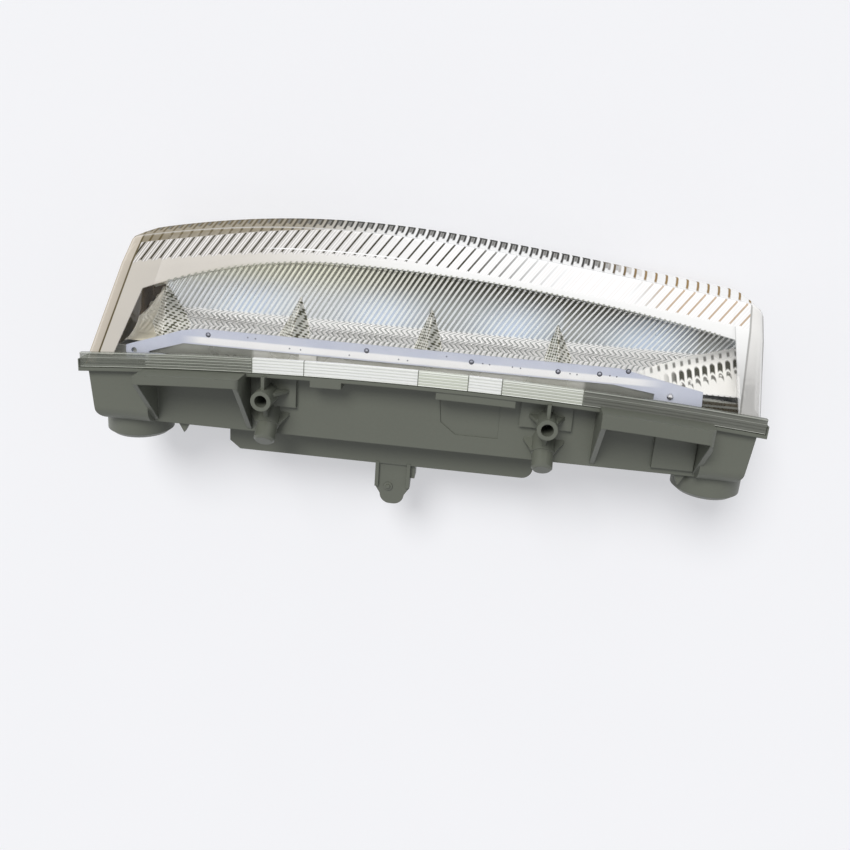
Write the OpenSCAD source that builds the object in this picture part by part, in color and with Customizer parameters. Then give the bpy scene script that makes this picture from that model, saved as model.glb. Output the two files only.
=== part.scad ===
// Daytime running light of a car: clear ribbed cover, fluted reflector, LED board and moulded housing.
// X runs along the lamp, +Y is the way it shines, +Z is up as it lies on its broad side.

/* [Flange] */
// Length of the housing's flange, end to end
flange_len = 305; // [290:1:330]
// Height of the flange, which is the height of the lamp
flange_h = 56; // [50:1:64]
// Thickness of the flange along Y
flange_t = 5.6; // [5.2:0.1:8]
// How far the middle of the flange bows forward of its ends
flange_bow = 6.5; // [2:0.5:9]
// Depth of the groove that takes the cover
groove_d = 3.6; // [3:0.1:4.4]
// Clearance between the cover's skirt and each side of the groove
groove_gap = 0.3; // [0.2:0.05:0.5]

/* [Cover] */
// Wall of the clear cover
lens_t = 2.4; // [2:0.1:3]
// Furthest reach of the cover ahead of the flange's ends
nose_y = 69.3; // [62:0.5:76]
// Place along X of that furthest point
nose_x = -36; // [-60:1:0]
// Radius of the front's sweep to the left of it
nose_sweep_r = 400; // [340:10:600]
// Slope of the straight run to the right of it
nose_fall = 0.14; // [0.06:0.01:0.16]
// Length over which the front bends into that run
nose_bend = 74; // [50:2:110]
// Plan radius of the left front corner
corner_left_r = 5; // [3:0.5:9]
// Plan radius of the right front corner
corner_right_r = 9; // [5:0.5:12]
// Pitch of the ribs along X
rib_pitch = 4.45; // [3.8:0.05:6]
// Height of the ribs inside the wall
rib_h = 0.9; // [0.5:0.1:1.2]
// Angle of the ribs from +Y towards +X
rib_angle = 36; // [20:1:45]
// Length of the ribs along Y on the top wall
rib_zone = 8.5; // [6:0.5:12]
// Thickness of the cover's rim that lies in the flange's upper edge
rim_z = 2.2; // [1.8:0.1:2.6]

/* [Reflector] */
// Sheet thickness of the reflector
reflector_t = 2; // [1.6:0.1:2.6]
// Reach of the reflector's rim ahead of the flange's ends
reflector_y = 51; // [46:0.5:54]
// Depth of the rim below the flange's upper edge
reflector_drop = 34; // [30:0.5:40]
// Upward slope of its floor from the rim towards the back
floor_slope = 10; // [4:1:16]
// Pitch of the flutes across the floor
flute_pitch = 2.5; // [2.4:0.1:4]
// Height of the flutes
flute_h = 0.6; // [0.3:0.1:0.9]
// Angle of the flutes from +Y towards +X
flute_angle = 34; // [20:1:40]
// Distance between neighbouring light cells
cell_pitch = 61; // [54:1:64]
// X of the divider between the two middle cells
cell_mid_x = 2; // [-8:1:8]
// Width of a divider between cells at its foot
divider_w = 17; // [12:1:22]

/* [LED board] */
// Thickness of the LED board
board_t = 1.2; // [0.8:0.1:1.8]
// Width of the board along Y
board_w = 7.2; // [6.5:0.1:8]
// Depth of the board's upper face below the flange's upper edge
board_drop = 6.4; // [6.3:0.1:6.7]
// Side of a square LED package
led_side = 3.5; // [2.8:0.1:4.2]
// Height of an LED package
led_h = 1.6; // [1.2:0.1:2.2]

/* [Housing] */
// Wall of the moulded housing
wall = 2.4; // [2:0.1:2.8]
// Depth of the housing behind the flange's ends
body_d = 27; // [25:0.5:31]
// Drop of the upper wall below the flange's upper edge, between the end blocks
mid_drop = 10; // [9:0.5:12]
// Drop of the end blocks below the flange's upper edge
end_drop = 3; // [2.5:0.25:4]
// Reach of the rear chamber behind the flange's ends
chamber_d = 42; // [40:0.5:46]
// Height of the upright bracket plates above the flange's upper edge
plate_rise = 12; // [9:0.5:15]
// Thickness of the left bracket plate along Y
plate_left_t = 4; // [3.5:0.25:5]
// Thickness of the right bracket plate along Y
plate_right_t = 6.4; // [5:0.2:7]
// Thickness of the triangular gussets and webs
gusset_t = 2.2; // [1.6:0.1:3]
// Outer diameter of the screw bosses
boss_od = 9.2; // [8.6:0.1:11]
// Hole diameter of the screw bosses
boss_id = 5.5; // [4.5:0.1:6]
// Height of the screw bosses above the flange's upper edge
boss_rise = 6; // [4:0.5:9]
// Depth of the hole in a screw boss
boss_hole_d = 14; // [10:0.5:15]
// Distance between the two screw bosses
boss_span = 126; // [118:1:130]
// Diameter of the locating pegs
peg_d = 9.5; // [8.5:0.1:10]
// Free length of a locating peg beyond its thicker root
peg_len = 7.2; // [6:0.2:9]
// Radius of the round end domes
dome_r = 15.5; // [12:0.5:16]
// Reach of the end domes behind the flange's ends
dome_d = 37.3; // [36:0.1:44]
// Reach of the middle tab behind the flange's ends
tab_d = 63; // [58:0.5:68]
// Width of the middle tab
tab_w = 17; // [14:0.5:20]

/* [Electronics] */
// Length of the driver board
driver_len = 112; // [108:1:114]
// Height of the driver board
driver_h = 20; // [18:0.5:22]
// Thickness of the driver board
driver_t = 1.6; // [1:0.1:2]
// Width of the connector socket
socket_w = 20; // [18:0.5:24]
// Height of the connector socket
socket_h = 10; // [9:0.5:11]
// Depth of the connector socket
socket_d = 9; // [8:0.5:10]
// Width of a terminal blade
blade_w = 2.8; // [2:0.1:3.2]
// Radius of the vent cap
vent_r = 7; // [6:0.25:8]

/* [Hidden] */
$fn = 64;

half = flange_len / 2;
eps = 0.01;
plastic_grey = [0.42, 0.43, 0.40];
base_y = (nose_y - tab_d) / 2;

// Middle line of the bowed flange at x
function bow(x) = flange_bow * (1 - pow(x / half, 2));
// Linear blend from a to b
function mix(a, b, s) = a + (b - a) * s;
// How far a rounded corner of radius r falls back at a distance d from the end
function fall(d, r) = d >= r ? 0 : r - sqrt(r * r - pow(r - max(d, 0), 2));

// Puts the lamp on the ground with its origin below the middle of its outline
module placed() {
    translate([0, -base_y, flange_h]) children();
}

// A band that follows the flange's bow, from y0 to y1 beside its middle line and between x0 and x1
module bow_band(x0, x1, y0, y1, z0, z1) {
    steps = max(2, ceil((x1 - x0) / 13));
    xs = [for (i = [0:steps]) mix(x0, x1, i / steps)];
    front = [for (x = xs) [x, bow(x) + y1]];
    back = [for (i = [steps:-1:0]) [xs[i], bow(xs[i]) + y0]];
    translate([0, 0, z0])
        linear_extrude(z1 - z0)
            polygon(concat(back, front));
}

// Box between two corners
module block(a, b) {
    translate(a) cube(b - a);
}

// Upright prism on a plan polygon
module prism(points, z0, z1) {
    translate([0, 0, z0])
        linear_extrude(z1 - z0)
            polygon(points);
}

// Plate in a plane across X, drawn as [y, z] points
module rib_plate(x, t, points) {
    translate([x - t / 2, 0, 0])
        rotate([90, 0, 90])
            linear_extrude(t)
                polygon(points);
}

// Closed skin through a list of equal rings, with both ends capped by the given faces of a ring
module skin(rings, caps) {
    m = len(rings[0]);
    n = len(rings);
    pts = [for (r = rings) for (p = r) p];
    sides = [
        for (i = [0:n - 2]) for (j = [0:m - 1])
            let (a = i * m + j, b = i * m + (j + 1) % m)
                each [[a, b, b + m], [a, b + m, a + m]]
    ];
    first = [for (c = caps) [for (k = [len(c) - 1:-1:0]) c[k]]];
    last = [for (c = caps) [for (k = c) (n - 1) * m + k]];
    polyhedron(points = pts, faces = concat(sides, first, last), convexity = 6);
}

// Cover

lens_left_slope = 0.36;
lens_right_slope = -0.112;
lens_half = half - 2.6;
skirt_y = flange_t / 2 - groove_d + 1;
shoulder_z = -7.5;
brow_z = -11.5;
nose_mid_z = -flange_h * 0.62;
skirt_z = -1.6;
rim_back = -0.9;
rim_end = 1;

// End lines of the cover in plan, inset by t
function lens_left(y, t) = -lens_half + lens_left_slope * max(0, y - flange_t / 2) + t;
function lens_right(y, t) = lens_half + lens_right_slope * max(0, y - flange_t / 2) - t;
// Front outline of the cover's nose
function sweep(x) = x < nose_x
    ? nose_y - pow(x - nose_x, 2) / (2 * nose_sweep_r)
    : nose_y - nose_fall * (sqrt(pow(x - nose_x, 2) + nose_bend * nose_bend) - nose_bend);
function front(x) = sweep(x)
    - fall(x - lens_left(sweep(x), 0), corner_left_r)
    - fall(lens_right(sweep(x), 0) - x, corner_right_r);

// Side profile of the cover inset by t, between its skirt at base_x and its nose at x, as [y, z] points
function lens_profile(base_x, x, t) = let (
    b = bow(base_x) + skirt_y - (t > 0 ? 1 : 0),
    f = front(x) - t,
    low = -flange_h
) [
    [b, skirt_z - t],
    [bow(base_x) + flange_t / 2, skirt_z - t],
    [f - rib_zone - 3.5, shoulder_z - t],
    [f - 3.5, brow_z - t],
    [f - 1.4, brow_z - t - 3],
    [f - 0.3, nose_mid_z + 12],
    [f, nose_mid_z],
    [f - 0.4, nose_mid_z - 9],
    [f - 2.2, low + 3.2 + t * 0.6],
    [f - 6, low + 0.6 + t],
    [f - 11, low + t],
    [bow(base_x) + flange_t / 2, low - skirt_z + t],
    [b, low - skirt_z + t]
];
lens_caps = [[0, 1, 11, 12], [for (k = [1:11]) k]];

lens_steps = concat(
    [0, 0.003, 0.009, 0.018],
    [for (i = [1:26]) i / 27],
    [0.978, 0.986, 0.992, 0.997, 1]
);

module lens_body(t) {
    y_ref = nose_y - 4;
    rings = [
        for (s = lens_steps)
            let (
                base_x = mix(lens_left(0, t), lens_right(0, t), s),
                x = mix(lens_left(y_ref, t), lens_right(y_ref, t), s),
                line = lens_profile(base_x, x, t)
            )
                [for (p = line) [mix(lens_left(p[0], t), lens_right(p[0], t), s), p[0], p[1]]]
    ];
    skin(rings, lens_caps);
}

// One rib: a bar along the slanted line on the top wall, and its foot down the nose
module lens_rib(x) {
    dx = rib_zone * tan(rib_angle);
    w = rib_pitch * 0.42;
    y0 = front(x) - lens_t - rib_zone - 3;
    y1 = front(x + dx) - lens_t - 4;
    hull() {
        translate([x, y0, shoulder_z - lens_t + 0.2]) cube([w, 0.6, rib_h], center = true);
        translate([x + dx, y1, brow_z - lens_t]) cube([w, 0.6, rib_h * 1.6], center = true);
    }
    hull() {
        translate([x + dx, y1, brow_z - lens_t]) cube([w, 0.6, rib_h * 1.6], center = true);
        translate([x + dx * 1.25, front(x + dx * 1.25) - lens_t - 0.2, nose_mid_z + 4])
            cube([w, rib_h * 1.4, 0.6], center = true);
    }
}

module lens() color([0.93, 0.93, 0.86, 0.35]) placed() {
    dx = rib_zone * tan(rib_angle);
    first = lens_left(nose_y - 20, 0) + 7;
    last = lens_right(nose_y - 20, 0) - dx * 1.25 - corner_right_r;
    difference() {
        lens_body(0);
        lens_body(lens_t);
    }
    // The rim that lies in the flange's upper edge, and the collar ahead of its lower edge
    bow_band(-half + rim_end, half - rim_end, rim_back, flange_t / 2 + 3, -rim_z, 0);
    bow_band(-lens_half + 2, lens_half - 1, flange_t / 2 + 0.1, flange_t / 2 + 3,
        -flange_h, -flange_h + rim_z);
    for (x = [first:rib_pitch:last]) lens_rib(x);
}

// Sealing bead in the bottom of the groove

module sealing_bead() color([0.72, 0.73, 0.7]) placed() {
    y0 = flange_t / 2 - groove_d + 0.05;
    y1 = skirt_y - 0.05;
    out_x = lens_half + groove_gap - 0.05;
    in_x = lens_half - lens_t - groove_gap + 0.05;
    out_z = -skirt_z - groove_gap + 0.05;
    in_z = -skirt_z + lens_t + groove_gap - 0.05;
    difference() {
        bow_band(-out_x, out_x, y0, y1, -flange_h + out_z, -rim_z - groove_gap + 0.05);
        bow_band(-in_x, in_x, y0 - 1, y1 + 1, -flange_h + in_z, -in_z);
    }
}

// Reflector

board_z = -board_drop;
seat_z = board_z - board_t;
strip_mid_y = 20.2;
board_back_y = strip_mid_y - board_w;
dish_back_y = board_back_y - 1.5;
knee_y = 25;
dish_top_z = seat_z;
rim_h = 1.6;
rim_t = 1.5;
lug_left_x = -half + 18.5;
lug_right_x = half - 15.5;
foot_left_x = lug_left_x + 6.8;
foot_right_x = lug_right_x - 22.5;
dish_left_x = lug_left_x;
dish_right_x = lug_right_x + 4;

// Height of the dish's floor, and of the curve that rises from it to the board
function floor_z(y) = -reflector_drop + (reflector_y - y) * tan(floor_slope);
function dish_z(y) = y >= knee_y
    ? floor_z(y)
    : floor_z(y) + (dish_top_z - rim_h - 0.2 - floor_z(y))
        * (1 - sqrt(max(0, 1 - pow((knee_y - y) / (knee_y - dish_back_y), 2))));
// Rim of the dish in plan
function rim_y(x) = reflector_y - (x < -45 ? 0.0024 : 0.00052) * pow(x + 45, 2);

dish_rows = [
    dish_back_y - 2, dish_back_y, dish_back_y + 0.6, dish_back_y + 2.2, dish_back_y + 5,
    (dish_back_y + knee_y) / 2 + 2.6, knee_y, reflector_y + 2
];

// Solid below the dish's surface, lowered by drop
module dish_solid(drop) {
    low = -flange_h - 5;
    rows = len(dish_rows);
    surface = [for (y = dish_rows) [y, dish_z(max(y, dish_back_y)) - drop]];
    translate([dish_left_x - 20, 0, 0])
        rotate([90, 0, 90])
            linear_extrude(dish_right_x - dish_left_x + 40)
                polygon(concat([[dish_rows[0], low]], surface, [[dish_rows[rows - 1], low]]));
}

// One flute: a low ridge with three sides along the leaning line on the floor
module flute(x) {
    lean = tan(flute_angle);
    w = flute_pitch * 0.44;
    y0 = knee_y - 3;
    y1 = reflector_y + 1;
    pts = [
        for (y = [y0, y1]) let (c = x + (y - knee_y) * lean, z = floor_z(y))
            each [[c - w, y, z - 0.4], [c + w, y, z - 0.4], [c, y, z + flute_h]]
    ];
    polyhedron(pts, [[2, 1, 0], [3, 4, 5], [4, 3, 0], [1, 4, 0], [5, 4, 1], [2, 5, 1], [3, 5, 2], [0, 3, 2]]);
}

module dish_plan(inset) {
    n = 30;
    left = dish_left_x + inset;
    right = dish_right_x - inset;
    back = dish_back_y + inset;
    xs = [for (i = [0:n]) mix(left + 5, right, i / n)];
    translate([0, 0, -flange_h - 4])
        linear_extrude(flange_h + 4)
            polygon(concat([[left, back], [right, back]],
                [for (i = [n:-1:0]) [xs[i], rim_y(xs[i]) - inset]]));
}

// Divider between two cells, or an end wall, from its foot at the back to its tip on the floor
module divider(x, w, lean, tip_y) {
    back = dish_back_y + 1;
    top = dish_top_z - 0.8;
    foot = floor_z(knee_y) - 0.5;
    hull() {
        translate([x - w / 2, back, foot]) cube([w, 0.6, 0.6]);
        translate([x - 0.3, back, top - 0.6]) cube([0.6, 0.6, 0.6]);
        translate([x + lean, tip_y, floor_z(tip_y) - 0.6]) cube([0.4, 0.4, 0.6]);
    }
}

module divider_row() {
    for (k = [-1:1]) divider(cell_mid_x + k * cell_pitch, divider_w, 2, 34);
}

end_wall_left = cell_mid_x - 2 * cell_pitch;
lug_w = 11;
screw_y = -11;
lug_back_y = screw_y - 5;
lug_t = 2.4;
lug_screw_d = 2.2;
lug_screw_len = 8;
lug_screw_head_d = 5.6;
lug_screw_head_h = 1.4;
ledge_left = foot_left_x + 27.2;
ledge_right = foot_right_x - 28.5;
ledge_back_y = flange_bow;
ledge_w = board_back_y + 1.6 - ledge_back_y;

// Ledge that carries the board, and the two lugs that reach back to the housing's shelves
module reflector_ledge() {
    y1 = ledge_back_y + ledge_w;
    block([ledge_left, ledge_back_y, seat_z - lug_t], [ledge_right, y1, seat_z]);
    hull() {
        block([ledge_left - 1, ledge_back_y, seat_z - lug_t], [ledge_left + 1, y1, seat_z]);
        block([lug_left_x - lug_w / 2, foot_left_y, seat_z - lug_t], [foot_left_x + lug_w / 2, 9, seat_z]);
    }
    hull() {
        block([ledge_right - 1, ledge_back_y, seat_z - lug_t], [ledge_right + 1, y1, seat_z]);
        block([foot_right_x - 10, foot_right_y, seat_z - lug_t], [lug_right_x + lug_w / 2, 9, seat_z]);
    }
    for (x = [lug_left_x, lug_right_x])
        difference() {
            block([x - lug_w / 2, lug_back_y, seat_z - lug_t], [x + lug_w / 2, 5, seat_z]);
            translate([x, screw_y, seat_z - lug_t - 1]) cylinder(h = lug_t + 2, d = 3.4);
        }
}

module reflector() color([0.85, 0.85, 0.86]) placed() {
    difference() {
        union() {
            intersection() {
                difference() {
                    union() {
                        dish_solid(0);
                        for (x = [dish_left_x - 20:flute_pitch:dish_right_x + 6]) flute(x);
                        divider_row();
                        divider(end_wall_left + 1, 24, 4, 34);
                        divider(dish_right_x - 13, 40, 12, 30);
                        // Raised rim
                        difference() {
                            dish_solid(-rim_h);
                            dish_plan(rim_t);
                        }
                    }
                    dish_solid(reflector_t);
                }
                dish_plan(0);
            }
            difference() {
                reflector_ledge();
                block([ledge_left - 1, board_back_y + 1.4, seat_z - 8],
                    [ledge_right + 1, knee_y + 15, seat_z + 1]);
            }
        }
        for (p = [board_hole_left, board_hole_right])
            translate([p[0], p[1], seat_z - 6]) cylinder(h = 8, d = 2.6);
    }
    // Gussets under the lugs
    for (x = [lug_left_x - 4, lug_left_x + 4, lug_right_x - 4, lug_right_x + 4])
        hull() {
            block([x - 0.8, 0.5, seat_z - lug_t - 0.4], [x + 0.8, 9, seat_z - lug_t]);
            block([x - 0.8, 8, seat_z - lug_t - 5], [x + 0.8, 9, seat_z - lug_t]);
        }
}

// LED board

foot_left_y = 3.4;
foot_right_y = 2.8;
foot_left_w = 10.7;
foot_right_w = 21;
board_hole_left = [foot_left_x - 1.6, foot_left_y + 4.2];
board_hole_right = [foot_right_x - 3.7, foot_right_y + 7.2];

module board_plan() {
    y = strip_mid_y;
    back = board_back_y;
    left = foot_left_x - foot_left_w / 2;
    right = foot_right_x + foot_right_w / 2;
    polygon([
        [left, foot_left_y], [left + foot_left_w, foot_left_y], [left + foot_left_w, back - 5.2],
        [ledge_left - 5.7, back], [ledge_right, back], [right - foot_right_w, back - 2.4],
        [right - foot_right_w, foot_right_y], [right, foot_right_y], [right - 0.7, back + 0.2],
        [ledge_right + 2, y], [ledge_left + 2, y], [ledge_left - 6.8, y - 1.6], [left, foot_left_y + 6.4]
    ]);
}

module led_board() color([0.88, 0.89, 0.95]) placed() {
    translate([0, 0, seat_z])
        difference() {
            linear_extrude(board_t) board_plan();
            translate([board_hole_left[0], board_hole_left[1], -1]) cylinder(h = board_t + 2, d = 2.6);
            translate([board_hole_right[0], board_hole_right[1], -1]) cylinder(h = board_t + 2, d = 2.4);
        }
}

// LED packages under the board, one over the middle of each cell
module led(k) color([0.95, 0.9, 0.6]) placed() {
    x = cell_mid_x + (k - 2.5) * cell_pitch;
    y = strip_mid_y - led_side / 2 - 0.6;
    block([x - led_side / 2, y - led_side / 2, seat_z - led_h * 0.6],
        [x + led_side / 2, y + led_side / 2, seat_z]);
    translate([x, y, seat_z - led_h])
        cylinder(h = led_h * 0.4 + eps, d1 = led_side * 0.55, d2 = led_side * 0.8);
}

module led_1() led(1);
module led_2() led(2);
module led_3() led(3);
module led_4() led(4);

module board_rivet() color([0.9, 0.9, 0.92]) placed() {
    translate([board_hole_right[0], board_hole_right[1], board_z]) {
        intersection() {
            translate([0, 0, -2.2]) sphere(r = 3.2);
            cylinder(h = 2, d = 6);
        }
        translate([0, 0, -board_t - lug_t]) cylinder(h = board_t + lug_t + eps, d = 2.2);
    }
}

// Housing

driver_x = -8;
body_half = half - 3;
body_taper = 2;
body_low = -flange_h + end_drop;
block_left = -half + 30.5;
block_right = half - 24.5;
boss_y = -6.8;
boss_left_x = -3.5 - boss_span / 2;
boss_right_x = -3.5 + boss_span / 2;
dome_x = half - dome_r;
dome_z = -25;
plate_len = 47;
plate_left = [block_left, block_left + plate_len];
plate_right = [block_right - plate_len, block_right + 1];
chamber_left = driver_x - driver_len / 2 - 26;
chamber_right = driver_x + driver_len / 2 + 9;
chamber_top = -24;
chamber_low = -50;
socket_x = driver_x + driver_len / 2 - 18;
socket_z = -37;
vent_x = -60;
vent_y = -13;
vent_hole_d = 4;
vent_h = 2.6;
membrane_t = 0.3;

// Plan of the body, inset by t, with round back corners
module body_plan(t) {
    r = 6 - t;
    y0 = -body_d + t;
    x0 = body_half - t;
    x1 = body_half - body_taper - t;
    union() {
        polygon(concat([[-x1, y0 + r], [x1, y0 + r]],
            [for (i = [12:-1:-12]) [x0 * i / 12, bow(x0 * i / 12)]]));
        translate([-x1 + r, y0]) square([2 * (x1 - r), r + 1]);
        for (s = [-1, 1]) translate([s * (x1 - r), y0 + r]) circle(r = r);
    }
}

shoulder_r = mid_drop - end_drop;

module body_shell(t) {
    y = -body_d + shoulder_r;
    r = shoulder_r - t;
    difference() {
        translate([0, 0, body_low + t]) linear_extrude(-body_low - end_drop - 2 * t) body_plan(t);
        block([block_left - t, -body_d - 5, -mid_drop - t], [block_right + t, 30, 5]);
        // Round shoulder of the end blocks
        rib_plate(0, flange_len, concat(
            [[-body_d - 5, -mid_drop], [-body_d - 5, 5], [y, 5]],
            [for (a = [90:10:180]) [y + r * cos(a), -mid_drop + r * sin(a)]]
        ));
    }
}

module chamber_plan(t) {
    r = 5 - t;
    y0 = -chamber_d + t;
    union() {
        polygon([
            [chamber_left + t, -body_d + wall + 1], [chamber_left + t, y0 + 4], [chamber_left + 5 + t, y0],
            [chamber_right - r - t, y0], [chamber_right - t, y0 + r], [chamber_right - t, -body_d + wall + 1]
        ]);
        translate([chamber_right - r - t, y0 + r]) circle(r = r);
    }
}

// Upright bracket plate on the flange: a gusset at each end, and a corner of radius r at its right
module bracket_plate(range, y1, t, r) {
    y0 = y1 - t;
    back = -body_d + 1;
    difference() {
        union() {
            bow_band(range[0], range[1], y0, y1, -mid_drop - wall, plate_rise);
            for (x = [range[0] + gusset_t / 2, range[1] - gusset_t / 2])
                rib_plate(x, gusset_t, [
                    [bow(x) + y0 + 1, plate_rise], [bow(x) + y0, plate_rise], [back, -mid_drop],
                    [back, -mid_drop - 1], [bow(x) + y0 + 1, -mid_drop - 1]
                ]);
        }
        difference() {
            block([range[1] - r, -body_d, plate_rise - r], [range[1] + 1, flange_bow + 2, plate_rise + 1]);
            translate([range[1] - r, flange_bow + 3, plate_rise - r])
                rotate([90, 0, 0]) cylinder(h = body_d + flange_bow + 4, r = r);
        }
    }
}

// Screw boss with its web to the flange, a wing on each of the given sides and the pad it stands on
module screw_boss(x, pad_left, pad_right, pad_y, sides, wing) {
    translate([x, boss_y, -mid_drop - 0.5]) {
        cylinder(h = mid_drop + boss_rise + 0.5, d = boss_od);
        cylinder(h = 3, d1 = boss_od + 3, d2 = boss_od);
    }
    block([x - 0.8, boss_y, -mid_drop], [x + 0.8, bow(x) - 2, boss_rise - 3]);
    for (s = sides)
        translate([x, boss_y + 2.4, 0])
            rotate([90, 0, 0])
                linear_extrude(1.6)
                    polygon([
                        [0, -mid_drop - 0.5], [s * wing, -mid_drop - 0.5],
                        [s * boss_od * 0.5, boss_rise - 6], [0, boss_rise - 6]
                    ]);
    block([x - pad_left, pad_y, -mid_drop - 0.5], [x + pad_right, bow(x) - 1, -mid_drop + 2]);
}

// Locating peg that points up and back, with the webs that carry it
module locating_peg(x) {
    root = 9.3;
    translate([x, boss_y - 8.2, -mid_drop - 2]) rotate([45, 0, 0]) {
        cylinder(h = root, d = peg_d + 0.8);
        cylinder(h = root + peg_len, d = peg_d);
        translate([0, 0, root + peg_len - eps]) cylinder(h = 1, d1 = peg_d, d2 = peg_d - 2);
    }
    rib_plate(x, 1.8, [
        [boss_y - boss_od / 2 + 1, boss_rise - 6], [boss_y - boss_od / 2 + 1, -mid_drop - 1],
        [-body_d + 2, -mid_drop - 1], [-body_d + 3, -mid_drop + 4]
    ]);
    translate([x, boss_y - 8.2, -mid_drop - 2]) rotate([45, 0, 0])
        rotate([90, 0, 0])
            linear_extrude(1.6, center = true)
                polygon([
                    [-peg_d / 2, 1], [-9, 1], [-9, 3.8], [-peg_d / 2, root],
                    [peg_d / 2, root], [9, 3.8], [9, 1], [peg_d / 2, 1]
                ]);
}

module end_dome(x, reach) {
    translate([x, -body_d + 1, dome_z])
        rotate([90, 0, 0]) {
            cylinder(h = reach - body_d - 1, r = dome_r);
            translate([0, 0, reach - body_d - 1 - eps])
                cylinder(h = 2, r1 = dome_r, r2 = dome_r - 2.5);
        }
}

// Small three-cornered tab on the back wall
module corner_tab(x, reach) {
    prism([[x - 3.4, -body_d + 1], [x + 3.4, -body_d + 1], [x, -body_d - reach]],
        -mid_drop - 5, -mid_drop - 2.3);
}

// Middle tab: a flat tongue with a rib along each side and a moulded pip
module middle_tab() {
    x = -9.5;
    z = -25;
    t = 2.6;
    y_end = -tab_d;
    r = 5;
    side = tab_w / 2;
    prism([
        [x - side, -chamber_d + 1], [x - side, y_end + 9], [x - side + 2.6, y_end + r],
        [x + side - 2.6, y_end + r], [x + side, y_end + 9], [x + side, -chamber_d + 1]
    ], z - t, z);
    block([x - side + 2.6 + r, y_end, z - t], [x + side - 2.6 - r, y_end + r + 1, z]);
    for (s = [-1, 1]) {
        translate([x + s * (side - 2.6 - r), y_end + r, z - t]) cylinder(h = t, r = r);
        rib_plate(x + s * (side - 0.9), 1.8, [
            [-chamber_d + 1, z - 11], [-chamber_d + 1, z + 1.2], [y_end + 9, z + 1.2], [y_end + 9, z - t]
        ]);
    }
    block([x + side, -chamber_d - 7, z - 9], [x + side + 2, -chamber_d + 1, z - 1]);
    // Moulded pip
    translate([x - 2, y_end + 9, z - eps]) {
        cylinder(h = 0.5, d = 4.4);
        cylinder(h = 1.1, d1 = 3, d2 = 2);
    }
}

// Shelves inside the end blocks that take the reflector's lugs
module lug_shelf(x) {
    w = lug_w + 1;
    block([x - w / 2, -body_d + 1, seat_z - lug_t - 9], [x + w / 2, screw_y + 4, seat_z - lug_t]);
}

driver_z = -37;
post_x = driver_len / 2 - 3.5;
post_len = 7.8;
post_d = 5;
post_screw_d = 2.5;
post_screw_len = driver_t + post_len - 2;
post_screw_head_d = 5;
post_screw_head_h = 1.6;
driver_y = -chamber_d + wall + post_len + driver_t / 2;

module driver_posts() {
    for (s = [-1, 1])
        translate([driver_x + s * post_x, -chamber_d + wall - 0.5, driver_z])
            rotate([-90, 0, 0])
                difference() {
                    cylinder(h = post_len + 0.5, d = post_d);
                    translate([0, 0, 1.5]) cylinder(h = post_len, d = post_screw_d);
                }
}

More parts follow.
